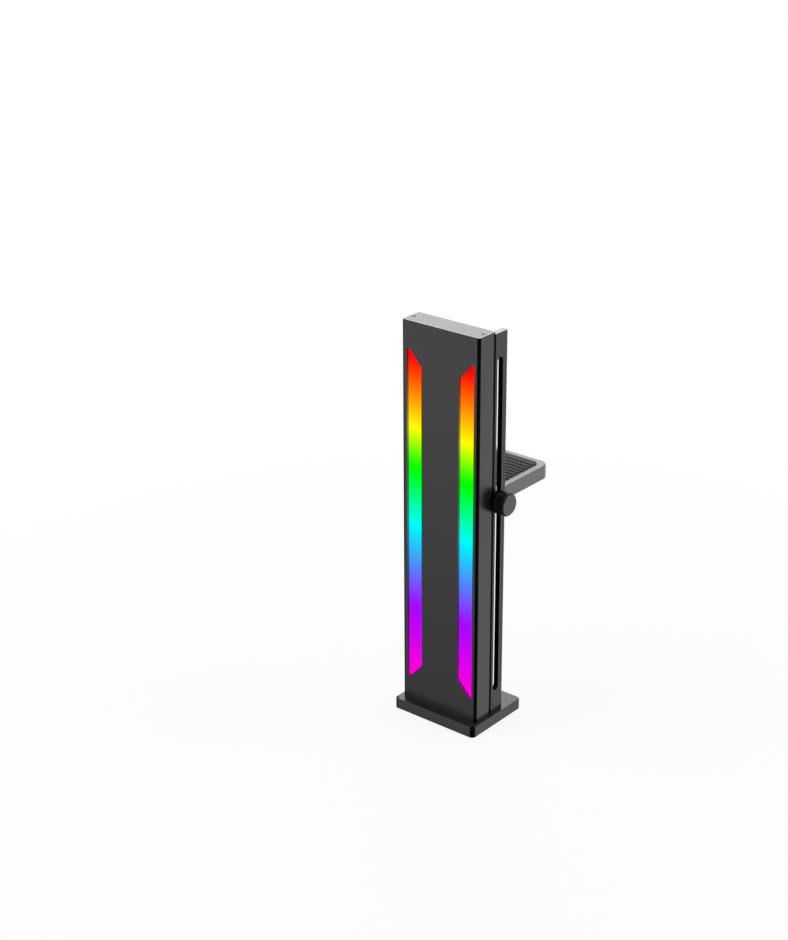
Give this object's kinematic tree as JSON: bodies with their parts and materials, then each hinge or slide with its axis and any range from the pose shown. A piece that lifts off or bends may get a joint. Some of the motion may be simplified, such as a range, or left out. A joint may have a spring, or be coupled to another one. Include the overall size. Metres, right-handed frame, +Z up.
{
  "type": "graphics card support bracket",
  "caption": "Upright support bracket with a lit column, a slotted rail and a sliding arm clamped by a thumb screw, which holds up the free end of a heavy graphics card.",
  "frame": {"origin": "middle of the base's underside", "axes": "+Z up along the column, -Y towards the lit front, +Y along the arm, +X towards the slotted flange and its thumb screw"},
  "size_m": [0.0542, 0.0669, 0.2043],
  "materials": {
    "base_anodised": "fine matt black anodised",
    "base_rubber": "smooth black rubber",
    "magnet": "nickel plated",
    "screw_steel": "black oxide",
    "housing_anodised": "fine matt black anodised, bare cut top",
    "lit_diffuser": "frosted, lit in a rainbow from red at the top to magenta at the bottom",
    "carrier_plastic": "moulded white",
    "board": "white solder mask",
    "led": "clear lens on a white body",
    "cap_aluminium": "fine satin, natural",
    "cap_screw_steel": "satin",
    "rail_anodised": "fine matt black anodised, bare cut top",
    "grommet_rubber": "smooth black rubber",
    "arm_anodised": "fine matt black anodised",
    "pad_rubber": "ribbed soft black rubber",
    "washer_plastic": "black nylon",
    "stud_steel": "zinc plated",
    "knob_anodised": "turned, satin black anodised"
  },
  "bodies": {
    "column": {"base_plate": "base_anodised", "base_pad": "base_rubber", "base_magnets": "magnet", "base_screws": "screw_steel", "lamp_housing": "housing_anodised", "left_diffuser": "lit_diffuser", "right_diffuser": "lit_diffuser", "light_carrier": "carrier_plastic", "left_led_board": "board", "right_led_board": "board", "left_leds": "led", "right_leds": "led", "top_cap": "cap_aluminium", "cap_screws": "cap_screw_steel", "slotted_rail": "rail_anodised", "rail_screws": "screw_steel", "lead_grommet": "grommet_rubber"},
    "arm": {"support_arm": "arm_anodised", "arm_pad": "pad_rubber"},
    "washer": {"clamp_washer": "washer_plastic"},
    "thumb_screw": {"thumb_stud": "stud_steel", "thumb_knob": "knob_anodised"}
  },
  "joints": [
    {"name": "arm_slide", "type": "slide", "parent": "column", "child": "arm", "axis": [0, 0, 1], "range_m": [-0.099, 0.0702]},
    {"name": "thumb_screw_advance", "type": "slide", "parent": "arm", "child": "washer", "axis": [1, 0, 0], "range_m": [0, 0.000875]},
    {"name": "thumb_screw_turn", "type": "hinge", "parent": "washer", "child": "thumb_screw", "pos_m": [0.0235, 0.00107, 0.11865], "axis": [1, 0, 0], "range_deg": [0, 450]}
  ],
  "couplings": [
    {"joint": "thumb_screw_turn", "follows": "thumb_screw_advance", "rad_per_m": 8975.9}
  ]
}
